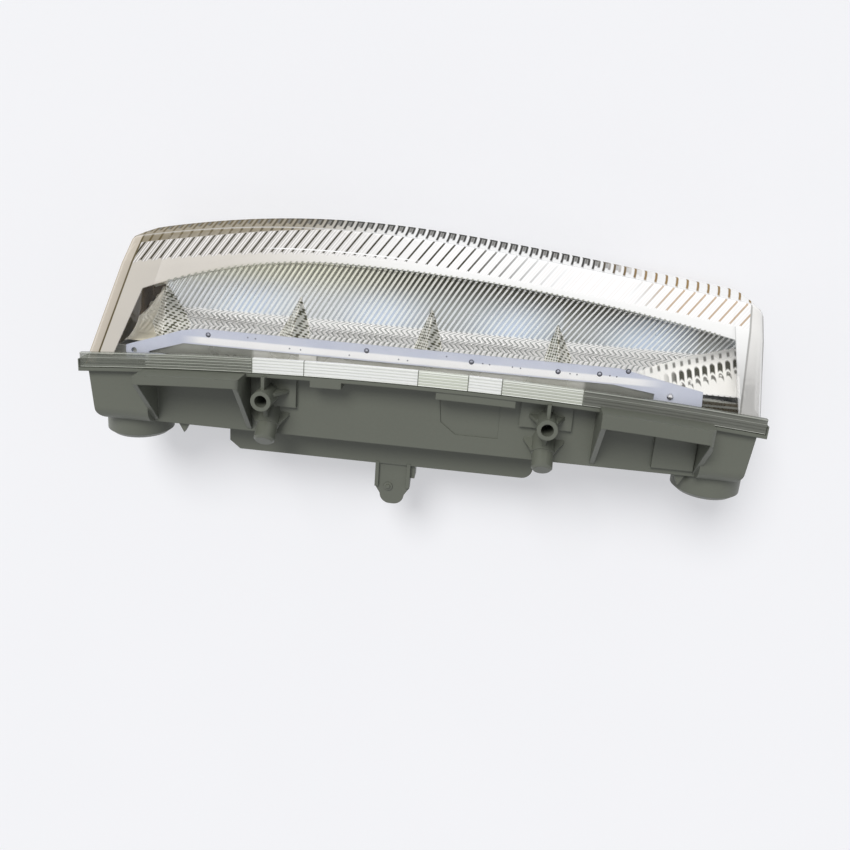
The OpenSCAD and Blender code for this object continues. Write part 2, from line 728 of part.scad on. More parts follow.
module housing() color(plastic_grey) placed() difference() {
    union() {
        difference() {
            union() {
                bow_band(-half, half, -flange_t / 2, flange_t / 2, -flange_h, 0);
                body_shell(0);
                translate([0, 0, chamber_low]) linear_extrude(chamber_top - chamber_low) chamber_plan(0);
                end_dome(-dome_x + 2.2, dome_d);
                end_dome(dome_x, dome_d + 0.9);
                corner_tab(-half + 44, 5);
                corner_tab(half - 30.5, 6);
                middle_tab();
                bracket_plate(plate_left, -1.2, plate_left_t, 2);
                bracket_plate(plate_right, 0.2, plate_right_t, 4);
                screw_boss(boss_left_x, 9.5, 12.5, -13, [1], 11);
                screw_boss(boss_right_x, 11.8, 11.5, -11, [-1, 1], 9);
                locating_peg(boss_left_x);
                locating_peg(boss_right_x);
                // Thickened lips on the flange's back
                bow_band(-46, -32, -flange_t / 2 - 3, -flange_t / 2 + 1, -mid_drop, 0);
                bow_band(10, 45, -flange_t / 2 - 3.5, -flange_t / 2 + 1, -mid_drop, -0.5);
                // Raised box in the right-hand bracket
                block([plate_right[1] - 21, -body_d + 3, -mid_drop - 1],
                    [plate_right[1] - 2.5, -9, -mid_drop + 2]);
            }
            // Cavity, open to the front
            intersection() {
                body_shell(wall);
                block([-half, -body_d, -flange_h], [half, 2, 0]);
            }
            // Opening of the flange: low behind the middle part, and without a lip along the upper edge
            opening_x = lens_half - lens_t - groove_gap - 1.2;
            opening_z = -skirt_z + lens_t + groove_gap + 1.2;
            back_y = -flange_t / 2 - 3.4;
            front_y = flange_t / 2 + 1;
            bow_band(-opening_x, opening_x, back_y, front_y, -flange_h + opening_z, -mid_drop - wall);
            for (r = [[-opening_x, block_left - wall], [block_right + wall, opening_x]])
                bow_band(r[0], r[1], back_y, front_y, -mid_drop - wall - 1, -opening_z);
            bow_band(-opening_x, opening_x, flange_t / 2 - groove_d, front_y,
                -mid_drop - wall - 1, -opening_z + 1.3);
            translate([0, 0, chamber_low + wall])
                linear_extrude(chamber_top - chamber_low - 2 * wall) chamber_plan(wall);
            // Groove for the cover's skirt
            difference() {
                gx = lens_half + groove_gap;
                gz = -skirt_z - groove_gap;
                bow_band(-gx, gx, flange_t / 2 - groove_d, flange_t / 2 + 1, -flange_h + gz, -gz);
                hx = lens_half - lens_t - groove_gap;
                hz = -skirt_z + lens_t + groove_gap;
                bow_band(-hx, hx, -flange_t, flange_t, -flange_h + hz, -hz);
            }
            // Rebate for the cover's rim
            bow_band(-half + rim_end - groove_gap, half - rim_end + groove_gap,
                rim_back - groove_gap, flange_t, -rim_z - groove_gap, 1);
            // Bare recessed panel on the upper wall
            prism([[11.2, -1], [38.8, -3], [38.8, -18.6], [19.5, -18.6], [12.5, -13.2]],
                -mid_drop - 0.5, -mid_drop + 0.2);
        }
        lug_shelf(lug_left_x);
        lug_shelf(lug_right_x);
        driver_posts();
        // Socket shroud, sunk into the chamber's back wall
        block([socket_x - socket_w / 2 - 1.6, -chamber_d + 1, socket_z - socket_h / 2 - 1.6],
            [socket_x + socket_w / 2 + 1.6, -chamber_d + socket_d, socket_z + socket_h / 2 + 1.6]);
    }
    for (x = [boss_left_x, boss_right_x])
        translate([x, boss_y, boss_rise - boss_hole_d]) cylinder(h = boss_hole_d + 1, d = boss_id);
    // Connector socket
    block([socket_x - socket_w / 2, -chamber_d - 1, socket_z - socket_h / 2],
        [socket_x + socket_w / 2, -chamber_d + socket_d + 1, socket_z + socket_h / 2]);
    // Vent seat and its hole
    translate([vent_x, vent_y, body_low - 1]) cylinder(h = wall + 2, d = vent_hole_d);
    // Screw holes in the shelves
    for (x = [lug_left_x, lug_right_x])
        translate([x, screw_y, seat_z - lug_t - lug_screw_len])
            cylinder(h = lug_screw_len + 1, d = lug_screw_d);
}

// Fasteners

module reflector_screws() color([0.75, 0.75, 0.77]) placed()
    for (x = [lug_left_x, lug_right_x])
        translate([x, screw_y, seat_z]) {
            cylinder(h = lug_screw_head_h, d = lug_screw_head_d);
            translate([0, 0, -lug_screw_len]) cylinder(h = lug_screw_len + eps, d = lug_screw_d);
        }

module driver_screws() color([0.75, 0.75, 0.77]) placed()
    for (s = [-1, 1])
        translate([driver_x + s * post_x, driver_y + driver_t / 2, driver_z])
            rotate([-90, 0, 0]) {
                cylinder(h = post_screw_head_h, d = post_screw_head_d);
                translate([0, 0, -post_screw_len]) cylinder(h = post_screw_len + eps, d = post_screw_d);
            }

// Electronics in the rear chamber

module driver_board() color([0.1, 0.35, 0.2]) placed() difference() {
    block([driver_x - driver_len / 2, driver_y - driver_t / 2, driver_z - driver_h / 2],
        [driver_x + driver_len / 2, driver_y + driver_t / 2, driver_z + driver_h / 2]);
    for (s = [-1, 1])
        translate([driver_x + s * post_x, driver_y, driver_z])
            rotate([90, 0, 0]) cylinder(h = driver_t + 2, d = 2.7, center = true);
}

board_front = driver_y + driver_t / 2;

module driver_chip() color([0.12, 0.12, 0.12]) placed()
    block([driver_x - 2, board_front, driver_z - 3], [driver_x + 5, board_front + 1.6, driver_z + 3]);

module inductor() color([0.2, 0.2, 0.22]) placed()
    translate([driver_x - 0.143 * driver_len, board_front, driver_z]) rotate([-90, 0, 0]) {
        cylinder(h = 1, d = 12);
        cylinder(h = 6, d = 9);
        translate([0, 0, 5]) cylinder(h = 1, d = 12);
    }

module capacitor(x) color([0.7, 0.7, 0.72]) placed()
    translate([x, board_front, driver_z + 3]) rotate([-90, 0, 0]) {
        cylinder(h = 8.5, d = 6.3);
        translate([0, 0, 8.4]) cylinder(h = 0.6, d1 = 6.3, d2 = 5.2);
    }

module capacitor_1() capacitor(driver_x - 0.27 * driver_len);
module capacitor_2() capacitor(driver_x + 0.125 * driver_len);

module protection_diode() color([0.12, 0.12, 0.12]) placed()
    block([driver_x + 21, board_front, driver_z - 7], [driver_x + 25.5, board_front + 2.3, driver_z - 3.5]);

module shunt_resistors() color([0.15, 0.15, 0.16]) placed()
    for (x = [driver_x + 21:3:driver_x + 30])
        block([x, board_front, driver_z + 2], [x + 1.6, board_front + 0.6, driver_z + 5.2]);

// Header that closes the socket's floor and holds the two terminals

header_y0 = -chamber_d + socket_d - 2.4;
terminal_span = 8;

module pin_header() color([0.13, 0.13, 0.14]) placed() difference() {
    block([socket_x - socket_w / 2 + 0.1, header_y0, socket_z - socket_h / 2 + 0.1],
        [socket_x + socket_w / 2 - 0.1, driver_y - driver_t / 2, socket_z + socket_h / 2 - 0.1]);
    for (s = [-1, 1])
        block([socket_x + s * terminal_span / 2 - blade_w / 2 - 0.05, header_y0 - 1, socket_z - 0.45],
            [socket_x + s * terminal_span / 2 + blade_w / 2 + 0.05, driver_y, socket_z + 0.45]);
}

module terminal(s) color([0.8, 0.72, 0.5]) placed()
    block([socket_x + s * terminal_span / 2 - blade_w / 2, header_y0 - 5.4, socket_z - 0.4],
        [socket_x + s * terminal_span / 2 + blade_w / 2, driver_y - driver_t / 2, socket_z + 0.4]);

module terminal_1() terminal(-1);
module terminal_2() terminal(1);

// Flat cable from the driver board up to the LED board's left foot

cable_x = driver_x - 0.4 * driver_len;
cable_w = 8;
cable_t = 0.5;
cable_top = board_z - 0.6;
cable_y = flange_bow - 0.65;
cable_path = [
    [board_back_y, cable_top], [cable_y + 0.6, cable_top], [cable_y, cable_top - 0.6],
    [cable_y, -mid_drop - 4], [cable_y - 4, -mid_drop - 8],
    [max(-body_d + 7, board_front + 10.2), -27], [max(-body_d + 2, board_front + 5.2), -31],
    [board_front + 0.25, -32.5], [board_front + 0.25, -37]
];

// Points of a path moved sideways by d
function beside(path, d) = [
    for (i = [0:len(path) - 1])
        let (
            a = path[max(i - 1, 0)], b = path[min(i + 1, len(path) - 1)],
            n = [a[1] - b[1], b[0] - a[0]] / norm(b - a)
        ) path[i] + n * d
];

module flat_cable() color([0.86, 0.86, 0.83]) placed() {
    left = beside(cable_path, cable_t / 2);
    right = beside(cable_path, -cable_t / 2);
    translate([cable_x, 0, 0])
        rotate([90, 0, 90])
            linear_extrude(cable_w)
                polygon(concat(left, [for (i = [len(right) - 1:-1:0]) right[i]]));
}

// Vent with its membrane under the lower wall

module vent_membrane() color([0.95, 0.95, 0.95]) placed()
    translate([vent_x, vent_y, body_low - membrane_t]) cylinder(h = membrane_t, d = vent_r * 1.2);

module vent_cap() color([0.12, 0.12, 0.12]) placed()
    translate([vent_x, vent_y, body_low - vent_h]) difference() {
        cylinder(h = vent_h, r = vent_r);
        translate([0, 0, 0.8]) cylinder(h = vent_h, r = vent_r - 1.4);
    }

housing();
lens();
sealing_bead();
reflector();
led_board();
led_1();
led_2();
led_3();
led_4();
board_rivet();
reflector_screws();
driver_board();
driver_screws();
driver_chip();
inductor();
capacitor_1();
capacitor_2();
protection_diode();
shunt_resistors();
pin_header();
terminal_1();
terminal_2();
flat_cable();
vent_membrane();
vent_cap();
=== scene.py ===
import bpy
import math
from mathutils import Matrix, Vector


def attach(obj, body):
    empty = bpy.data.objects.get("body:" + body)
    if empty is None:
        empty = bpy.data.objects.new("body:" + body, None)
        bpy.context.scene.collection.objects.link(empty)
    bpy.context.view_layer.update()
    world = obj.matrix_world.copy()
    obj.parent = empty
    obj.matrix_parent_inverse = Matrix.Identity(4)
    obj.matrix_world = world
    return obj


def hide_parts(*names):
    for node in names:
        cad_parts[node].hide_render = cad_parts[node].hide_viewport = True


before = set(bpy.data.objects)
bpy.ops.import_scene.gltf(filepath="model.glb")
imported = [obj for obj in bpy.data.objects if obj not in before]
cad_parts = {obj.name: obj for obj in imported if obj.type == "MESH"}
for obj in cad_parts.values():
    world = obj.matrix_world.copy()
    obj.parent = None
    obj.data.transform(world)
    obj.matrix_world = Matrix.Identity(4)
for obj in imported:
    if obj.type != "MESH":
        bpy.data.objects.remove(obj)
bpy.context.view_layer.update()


# Housing: one injection moulding in grey polypropylene, with the flange, the bracket plates,
# the screw bosses and the pegs in one shot. It carries all the other pieces. Its look is a
# satin skin with faint flow marks, and edges broken by the mould's small radii.

MM = 0.001


class Wire:
    """A socket of a node tree. + - * and / on it add Math nodes, and node() adds any other."""

    def __init__(self, tree, socket=None):
        self.tree = tree
        self.socket = socket

    def node(self, kind, settings=None, feeds=None, out=0):
        made = self.tree.nodes.new(kind)
        for name, value in (settings or {}).items():
            setattr(made, name, value)
        for key, value in (feeds or {}).items():
            self.feed(made.inputs[key], value)
        return Wire(self.tree, made.outputs[out])

    def feed(self, socket, value):
        if isinstance(value, Wire):
            self.tree.links.new(value.socket, socket)
        else:
            socket.default_value = value

    def maths(self, operation, *values):
        return self.node("ShaderNodeMath", {"operation": operation}, dict(enumerate(values)))

    def __add__(self, other):
        return self.maths("ADD", self, other)

    def __sub__(self, other):
        return self.maths("SUBTRACT", self, other)

    def __mul__(self, other):
        return self.maths("MULTIPLY", self, other)

    def __truediv__(self, other):
        return self.maths("DIVIDE", self, other)

    def __radd__(self, other):
        return self.maths("ADD", other, self)

    def __rsub__(self, other):
        return self.maths("SUBTRACT", other, self)

    def __rmul__(self, other):
        return self.maths("MULTIPLY", other, self)

    def sine(self):
        return self.maths("SINE", self)

    def whole_part_off(self):
        return self.maths("FRACT", self)

    def root(self):
        return self.maths("SQRT", self)

    def size(self):
        return self.maths("ABSOLUTE", self)

    def least(self, other):
        return self.maths("MINIMUM", self, other)

    def most(self, other):
        return self.maths("MAXIMUM", self, other)

    def band(self, low, high, first=0.0, last=1.0):
        """Runs smoothly from first to last while this value goes from low to high."""
        return self.node("ShaderNodeMapRange", {"interpolation_type": "SMOOTHSTEP"},
                         {0: self, 1: low, 2: high, 3: first, 4: last})

    def within(self, low, high, soft):
        """1 between low and high, with edges as wide as soft."""
        return self.band(low - soft, low + soft) * self.band(high + soft, high - soft)

    def tint(self, low, high):
        """This value as the mix between two colours."""
        return self.node("ShaderNodeMix", {"data_type": "RGBA"}, {0: self, 6: low, 7: high}, 2)


def new_finish(name):
    """A material with its shader, and a wire to start its nodes from."""
    finish = bpy.data.materials.new(name)
    finish.use_nodes = True
    shader = finish.node_tree.nodes["Principled BSDF"]
    return finish, shader, Wire(finish.node_tree)


def own_spot(start):
    """The place of a surface point on the object's own axes, in metres."""
    return start.node("ShaderNodeTexCoord", out=3)


def mottle(spot, scale, detail):
    """Soft uneven noise between 0 and 1."""
    feeds = {"Vector": spot, "Scale": scale, "Detail": detail}
    return spot.node("ShaderNodeTexNoise", None, feeds)


def coat(finish, *names):
    """Gives a finish to CAD nodes that stay in sight."""
    for name in names:
        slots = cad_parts[name].data.materials
        slots.clear()
        slots.append(finish)


edge_radius = 0.6 * MM
grain_depth = 0.2 * MM

grey_plastic, shader, start = new_finish("grey polypropylene")
spot = own_spot(start)
flow = mottle(spot, 16.0, 3.0)
grain = mottle(spot, 900.0, 2.0)
skin = (flow * 0.75 + grain * 0.25).tint((0.096, 0.102, 0.082, 1), (0.132, 0.140, 0.113, 1))
start.feed(shader.inputs["Base Color"], skin)
start.feed(shader.inputs["Roughness"], flow.band(0.3, 0.7, 0.36, 0.48))
shader.inputs["IOR"].default_value = 1.49
edge = start.node("ShaderNodeBevel", {"samples": 4}, {"Radius": edge_radius})
bump = start.node("ShaderNodeBump", None,
                  {"Strength": 0.12, "Distance": grain_depth, "Height": grain, "Normal": edge})
start.feed(shader.inputs["Normal"], bump)
coat(grey_plastic, "housing")


# Sealing bead, vent, screws and the parts of the driver: bought pieces that sit inside the
# housing or under it. They are finished plainly, each in its own stuff, such as clear sealant,
# green lacquer, brass, plated steel and white film.

def inner_finish(name, dark, light, scale, rough, metal=0.0):
    """A finish whose colour drifts between two tones."""
    finish, shader, start = new_finish(name)
    drift = mottle(own_spot(start), scale, 4.0)
    start.feed(shader.inputs["Base Color"], drift.band(0.35, 0.65).tint(dark, light))
    start.feed(shader.inputs["Roughness"], drift.band(0.2, 0.8, rough * 0.8, rough * 1.2))
    shader.inputs["Metallic"].default_value = metal
    return finish


coat(inner_finish("clear sealant", (0.42, 0.43, 0.39, 1), (0.55, 0.56, 0.52, 1), 300, 0.4),
     "sealing_bead")
coat(inner_finish("green board lacquer", (0.010, 0.085, 0.035, 1), (0.016, 0.115, 0.05, 1),
                  120, 0.3),
     "driver_board")
coat(inner_finish("black moulding", (0.012, 0.012, 0.013, 1), (0.03, 0.03, 0.03, 1), 200, 0.45),
     "driver_chip", "inductor", "protection_diode", "shunt_resistors", "pin_header", "vent_cap")
coat(inner_finish("drawn can", (0.50, 0.50, 0.51, 1), (0.66, 0.66, 0.67, 1), 400, 0.3, 1.0),
     "capacitor_1", "capacitor_2")
coat(inner_finish("brass terminal", (0.48, 0.34, 0.12, 1), (0.63, 0.47, 0.2, 1), 400, 0.28, 1.0),
     "terminal_1", "terminal_2")
coat(inner_finish("zinc plated steel", (0.52, 0.53, 0.55, 1), (0.72, 0.72, 0.73, 1),
                  500, 0.25, 1.0),
     "reflector_screws", "driver_screws")
coat(inner_finish("white cable film", (0.60, 0.60, 0.57, 1), (0.74, 0.74, 0.71, 1), 150, 0.3),
     "flat_cable")
coat(inner_finish("white membrane", (0.70, 0.70, 0.70, 1), (0.82, 0.82, 0.82, 1), 600, 0.8),
     "vent_membrane")


# Reflector: a moulded sheet with a vacuum-metallised face. Slanted flutes cross its floor, two
# rows of short chevrons run along its back, pyramids with knurled faces part the four light
# cells, and a lip goes round the front. Two lugs at the back are screwed to the housing.

TABLE_Y = -3.15
TABLE_Z = 56.0


def spot_at(x, y, z):
    """A point of the lamp's drawing, whose zero is the flange's upper edge, in metres."""
    return (x * MM, (y + TABLE_Y) * MM, (z + TABLE_Z) * MM)


def drawn_axes(start, spot):
    """X, Y and Z of the lamp's drawing in millimetres, as wires."""
    parts = start.node("ShaderNodeSeparateXYZ", None, {0: spot})
    x, y, z = [Wire(start.tree, out) * 1000 for out in parts.socket.node.outputs]
    return x, y - TABLE_Y, z - TABLE_Z


def mark(start, title):
    """A number that the mesh carries."""
    return start.node("ShaderNodeAttribute", {"attribute_name": title}, None, 2)


def mix(a, b, s):
    return a + (b - a) * s


def soft(low, high, value):
    """Runs smoothly from 0 to 1 while value goes from low to high."""
    s = min(1.0, max(0.0, (value - low) / (high - low)))
    return s * s * (3 - 2 * s)


def new_piece(name, points, faces, finish, marks=None):
    """A mesh piece with smooth faces. marks are named numbers, one for each point."""
    mesh = bpy.data.meshes.new(name)
    mesh.from_pydata(points, [], faces)
    mesh.materials.append(finish)
    for title, values in (marks or {}).items():
        mesh.attributes.new(title, "FLOAT", "POINT").data.foreach_set("value", values)
    mesh.polygons.foreach_set("use_smooth", [True] * len(mesh.polygons))
    made = bpy.data.objects.new(name, mesh)
    bpy.context.collection.objects.link(made)
    return made


def new_tree(name, sizes):
    """A geometry tree with an input for each named size: its wires, and what each input gets."""
    tree = bpy.data.node_groups.new(name, "GeometryNodeTree")
    for way in ("INPUT", "OUTPUT"):
        tree.interface.new_socket("Geometry", in_out=way, socket_type="NodeSocketGeometry")
    values = {}
    for title, size in sizes.items():
        made = tree.interface.new_socket(title, in_out="INPUT", socket_type="NodeSocketFloat")
        values[made.identifier] = size
    start = Wire(tree)
    sockets = start.node("NodeGroupInput").socket.node.outputs
    return start, {socket.name: Wire(tree, socket) for socket in sockets}, values


def end_tree(start, shape, finish):
    """Makes what repeats real, gives it the finish and closes the tree."""
    real = start.node("GeometryNodeRealizeInstances", None, {0: shape})
    done = start.node("GeometryNodeSetMaterial", None, {"Geometry": real, "Material": finish})
    out = start.tree.nodes.new("NodeGroupOutput")
    start.feed(out.inputs[0], done)
    return start.tree


def pillow_tree(name, pitch, height, bulge, finish):
    """Raises rounded pillows across the mark 'across', as far as the mark 'fade' lets them."""
    start, given, values = new_tree(name, {"Pitch": pitch, "Height": height, "Bulge": bulge})
    across, fade = [start.node("GeometryNodeInputNamedAttribute", {"data_type": "FLOAT"},
                               {"Name": title}) for title in ("across", "fade")]
    swing = (across / given["Pitch"]).whole_part_off() * 2 - 1
    lift = (1 - swing * swing * given["Bulge"]).root() - (1 - given["Bulge"]).root()
    facing = start.node("GeometryNodeInputNormal")
    shift = start.node("ShaderNodeVectorMath", {"operation": "SCALE"},
                       {0: facing, "Scale": lift * given["Height"] * fade})
    moved = start.node("GeometryNodeSetPosition", None,
                       {"Geometry": given["Geometry"], "Offset": shift})
    return end_tree(start, moved, finish), values


def settle(made, tree, values):
    """Puts a node tree on a piece and keeps its result as plain mesh."""
    modifier = made.modifiers.new(tree.name, "NODES")
    modifier.node_group = tree
    for key, value in values.items():
        modifier[key] = value
    shown = made.evaluated_get(bpy.context.evaluated_depsgraph_get())
    result = bpy.data.meshes.new_from_object(shown)
    made.modifiers.remove(modifier)
    result.name = made.name
    result.polygons.foreach_set("use_smooth", [True] * len(result.polygons))
    made.data = result


# Sizes of the reflector in millimetres.
rim_reach = 51.0
rim_drop = 34.0
rim_turn = -45
floor_rise = math.tan(math.radians(10))
knee_y = 25.0
dish_back = 11.5
dish_top = -9.4
dish_left, dish_right = -134.0, 141.0
sheet_t = 2.0
lip_rise = 1.6
flute_pitch = 2.5
flute_height = 0.62
flute_bulge = 0.96
cell_pitch = 61.0
cell_middle = 2.0
foot_back = 17.0
ridge_back_z = -9.0
arched_left = 99
arched_top = -11.0
arch_pitch = 3.3
pocket_right = -118
pocket_depth = 5
chevron_back, chevron_front = 17.5, 24.5
chevron_pitch = 3.5

# Each divider's middle, half the width of its foot, its lean and the Y of its tip.
dividers = ((-59.5, 9.5, 1.5, 34), (3, 8.5, 0.4, 34), (63, 8.5, -2, 32), (-116.5, 12, -6, 34.5))


def rim_y(x):
    bend = 0.0024 if x < rim_turn else 0.00052
    return rim_reach - bend * (x - rim_turn) ** 2


def floor_z(y):
    return -rim_drop + (rim_reach - y) * floor_rise


def dish_z(y):
    """The sheet's section: a rising floor that turns up behind the knee."""
    if y >= knee_y:
        return floor_z(y)
    turn = min(1.0, (knee_y - y) / (knee_y - dish_back))
    return floor_z(y) + (dish_top - floor_z(y)) * (1 - math.sqrt(max(0.0, 1 - turn * turn)))


def divider_z(x, y, middle, half_foot, lean, tip_y):
    """Height of a divider at x, y, and the dish's own height beside it."""
    run = (y - dish_back) / (tip_y - dish_back)
    if run >= 1:
        return dish_z(y)
    side = abs(x - middle - lean * run) / (half_foot * (1 - run))
    if side >= 1:
        return dish_z(y)
    ridge = mix(ridge_back_z, floor_z(tip_y) + 0.5, run)
    return mix(ridge, dish_z(max(y, foot_back)), side)


def arched_front(x):
    """Where the arched wall on the right meets the floor."""
    return mix(17.0, 29.0, (x - arched_left) / (dish_right - arched_left))


def reflector_point(x, y):
    """Height of the face at x, y and its marks: knurl, arch, the pocket (painted dark as shade) and
    cell.
    """
    z = dish_z(y)
    knurl = arch = pocket_shade = 0.0
    for divider in dividers:
        high = divider_z(x, y, *divider)
        if high > z:
            z, knurl = high, 1.0
    front = arched_front(x)
    if x > arched_left and y < front:
        climb = (front - y) / (front - dish_back)
        high = mix(floor_z(front), arched_top, climb ** 0.8)
        if high > z:
            z, arch = high, 1.0
    if x < pocket_right and not knurl and y > 18:
        pocket_shade = soft(-121.5, -124.0, x + (34 - y) * 0.75) * soft(34.5, 33.0, y)
        z -= pocket_depth * pocket_shade * soft(-133.5, -131.0, x)
    middle = cell_middle + (round((x - cell_middle) / cell_pitch - 0.5) + 0.5) * cell_pitch
    cell = math.exp(-((x - middle - 5 - (y - 20) * 0.4) / 18) ** 2) * soft(43, 28, y)
    return z, knurl, arch, pocket_shade, cell


# The coat is painted with light and shade: cream crests as painted highlights, dark valleys as
# painted shade, deepest by the front rim, painted light around each LED, knurled dividers and
# arched cells on the right-hand wall painted as glints and shade, and a pocket painted dark as
# shade.
mirror, shader, start = new_finish("metallised face")
spot = own_spot(start)
x, y, z = drawn_axes(start, spot)
cloud = mottle(spot, 35.0, 3.0)
spark = mottle(spot, 420.0, 1.0)
phase = (mark(start, "across") / flute_pitch).whole_part_off()
# Flute crests are painted pale as highlights, and valleys dark as painted shade, darkest forward
# and on the right.
crest = ((phase - 0.5).size() + x.band(-60.0, 60.0) * 0.09).band(0.33, 0.24)
far_right = x.band(30.0, 105.0)
forward = (y + far_right * 7).band(32.0, 47.0)
to_right = x.band(-95.0, 0.0)
pale = x.band(-60.0, 50.0).tint((0.96, 0.96, 0.80, 1), (0.98, 0.98, 0.97, 1))
pale = forward.tint((0.86, 0.89, 0.91, 1), pale)
valley_shade_left = forward.tint((0.62, 0.65, 0.64, 1), (0.62, 0.63, 0.50, 1))
valley_shade_right = forward.tint((0.37, 0.39, 0.37, 1), (0.040, 0.040, 0.020, 1))
fluted = crest.tint(to_right.tint(valley_shade_left, valley_shade_right), pale)
# Painted light: a cool pool of light around each LED, where the mark cell is high.
painted_led_light = crest.tint((0.64, 0.74, 0.88, 1), (0.93, 0.98, 1.0, 1))
fluted = mark(start, "cell").tint(fluted, painted_led_light)
# Chevron crests are painted white as highlights over painted shade in their valleys.
valley = cloud.tint((0.26, 0.28, 0.24, 1), (0.55, 0.58, 0.58, 1))
chevron = (phase - 0.5).size().band(0.40, 0.30).tint(valley, (0.99, 0.99, 0.98, 1))
chevron = mark(start, "chevron").tint(fluted, chevron)
# The knurled dividers are painted as a woven pattern of glints and shade; the mesh under it is
# smooth.
weave = (x * 2.7 + y * 2.2).sine() * (x * 1.6 - y * 2.2 + z * 1.4).sine() + (spark - 0.5) * 2.4
knurl_glints = weave.band(-0.4, -0.05).tint((0.10, 0.10, 0.05, 1), (0.98, 0.98, 0.92, 1))
beside = x.band(-121.0, -123.0)
facets = cloud.band(0.4, 0.55).tint((0.78, 0.74, 0.60, 1), (1.0, 0.97, 0.86, 1))
face = beside.tint(chevron, facets)
face = mark(start, "knurl").band(0.4, 0.6).tint(face, knurl_glints)
# The arched cells on the right-hand wall are painted, not modelled: crescents, tips and flecks of
# dark painted shade on white.
column = ((x - arched_left) / arch_pitch).whole_part_off()
climb = mark(start, "climb")
bend = climb - (column - 0.3) * (column - 0.3) * 0.55
crescents = bend.within(0.30, 0.55, 0.04) * column.within(0.06, 0.70, 0.08)
crescents = crescents * x.band(106.0, 116.0)
tips = climb.within(0.07, 0.2, 0.03) * column.within(0.35, 0.7, 0.08)
shade_flecks = bend.within(0.62, 0.74, 0.03) * column.within(0.15, 0.8, 0.1) * spark.band(0.35, 0.5)
arches = crescents.most(tips * 0.8).most(shade_flecks * 0.85) * x.band(99.0, 106.0)
arches = arches.tint((1.0, 1.0, 0.98, 1), (0.035, 0.035, 0.018, 1))
face = mark(start, "arch").band(0.4, 0.6).tint(face, arches)
# The pocket at the left end is painted dark brown as painted shade.
pocket_shade_tone = cloud.tint((0.085, 0.06, 0.026, 1), (0.14, 0.10, 0.05, 1))
face = mark(start, "pocket_shade").band(0.3, 0.6).tint(face, pocket_shade_tone)
dull = (mark(start, "knurl") * 0.5).most(mark(start, "arch") * 0.75).most(beside * 0.7)
start.feed(shader.inputs["Base Color"], face)
start.feed(shader.inputs["Roughness"], cloud.band(0.3, 0.7, 0.20, 0.32))
start.feed(shader.inputs["Metallic"], 0.9 - dull)

columns = 620
rows = 74
low_rows = 8
points, across, fade = [], [], []
marks = {"knurl": [], "arch": [], "pocket_shade": [], "cell": [], "chevron": [], "climb": []}
for j in range(rows + 1):
    v = j / rows
    for i in range(columns + 1):
        x = mix(dish_left, dish_right, i / columns)
        front = rim_y(x)
        y = mix(dish_back, front, v)
        z, knurl, arch, pocket_shade, cell = reflector_point(x, y)
        edge = min(front - y, x - dish_left, dish_right - x)
        z += lip_rise * (1 - soft(0.2, 1.3, edge))
        points.append(spot_at(x, y, z))
        turned = 0.0
        if chevron_back < y < chevron_front:
            turned = 1.8 - abs((y - chevron_back) % chevron_pitch - chevron_pitch / 2) * 2
        lean = math.tan(math.radians(30 + 8.5 * soft(0, 110, x)))
        across.append(x - (y - knee_y) * lean + turned)
        fade.append((1 - max(knurl, arch, pocket_shade)) * soft(0.6, 2.2, edge) * soft(13.0, 17.0, y))
        for title, value in (("knurl", knurl), ("arch", arch), ("pocket_shade", pocket_shade), ("cell", cell),
                             ("chevron", soft(25.0, 24.0, y)),
                             ("climb", (arched_front(x) - y) / 12.0)):
            marks[title].append(value)
top_count = len(points)
for j in range(low_rows + 1):
    v = j / low_rows
    for i in range(columns + 1):
        x = mix(dish_left, dish_right, i / columns)
        y = mix(dish_back, rim_y(x), v)
        under = min(dish_z(y) - sheet_t, reflector_point(x, y)[0] - 0.5)
        points.append(spot_at(x, y, under))
        across.append(0.0)
        fade.append(0.0)
        for values in marks.values():
            values.append(0.0)

wide = columns + 1
faces = []
for j in range(rows):
    for i in range(columns):
        a = j * wide + i
        faces.append((a, a + 1, a + 1 + wide, a + wide))
for j in range(low_rows):
    for i in range(columns):
        a = top_count + j * wide + i
        faces.append((a, a + wide, a + 1 + wide, a + 1))
for i in range(columns):
    faces.append((i, top_count + i, top_count + i + 1, i + 1))
    a, b = rows * wide + i, top_count + low_rows * wide + i
    faces.append((a, a + 1, b + 1, b))
faces.append([j * wide for j in range(rows + 1)]
             + [top_count + j * wide for j in range(low_rows, -1, -1)])
faces.append([top_count + j * wide + columns for j in range(low_rows + 1)]
             + [j * wide + columns for j in range(rows, -1, -1)])
marks["across"], marks["fade"] = across, fade
dish = new_piece("reflector_face", points, faces, mirror, marks)
settle(dish, *pillow_tree("reflector flutes", flute_pitch, flute_height * MM, flute_bulge, mirror))
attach(dish, "root")
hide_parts("reflector")


def plate(name, outline, low, high, finish):
    """A flat plate on an outline in plan, with its edges just broken."""
    n = len(outline)
    points = [spot_at(x, y, z) for z in (low, high) for x, y in outline]
    faces = [list(range(n - 1, -1, -1)), list(range(n, 2 * n))]
    faces += [(k, (k + 1) % n, (k + 1) % n + n, k + n) for k in range(n)]
    made = new_piece(name, points, faces, finish)
    made.data.polygons.foreach_set("use_smooth", [False] * len(made.data.polygons))
    cut = made.modifiers.new("broken edges", "BEVEL")
    cut.width = 0.3 * MM
    cut.segments = 2
    cut.limit_method = "ANGLE"
    return made


seat_z = -7.6
ledge_t = 2.4
tread_pitch = 2.3
ledge_outline = [(-139.5, -16), (-128.5, -16), (-128.5, 3.4), (-121.7, 3.4), (-101, 6.5),
                 (87, 6.5), (104.5, 2.8), (131.5, 2.8), (131.5, -16), (142.5, -16), (142.5, 9),
                 (104, 11.6), (86, 14.6), (-100, 14.6), (-121.7, 9.4), (-139.5, 9)]

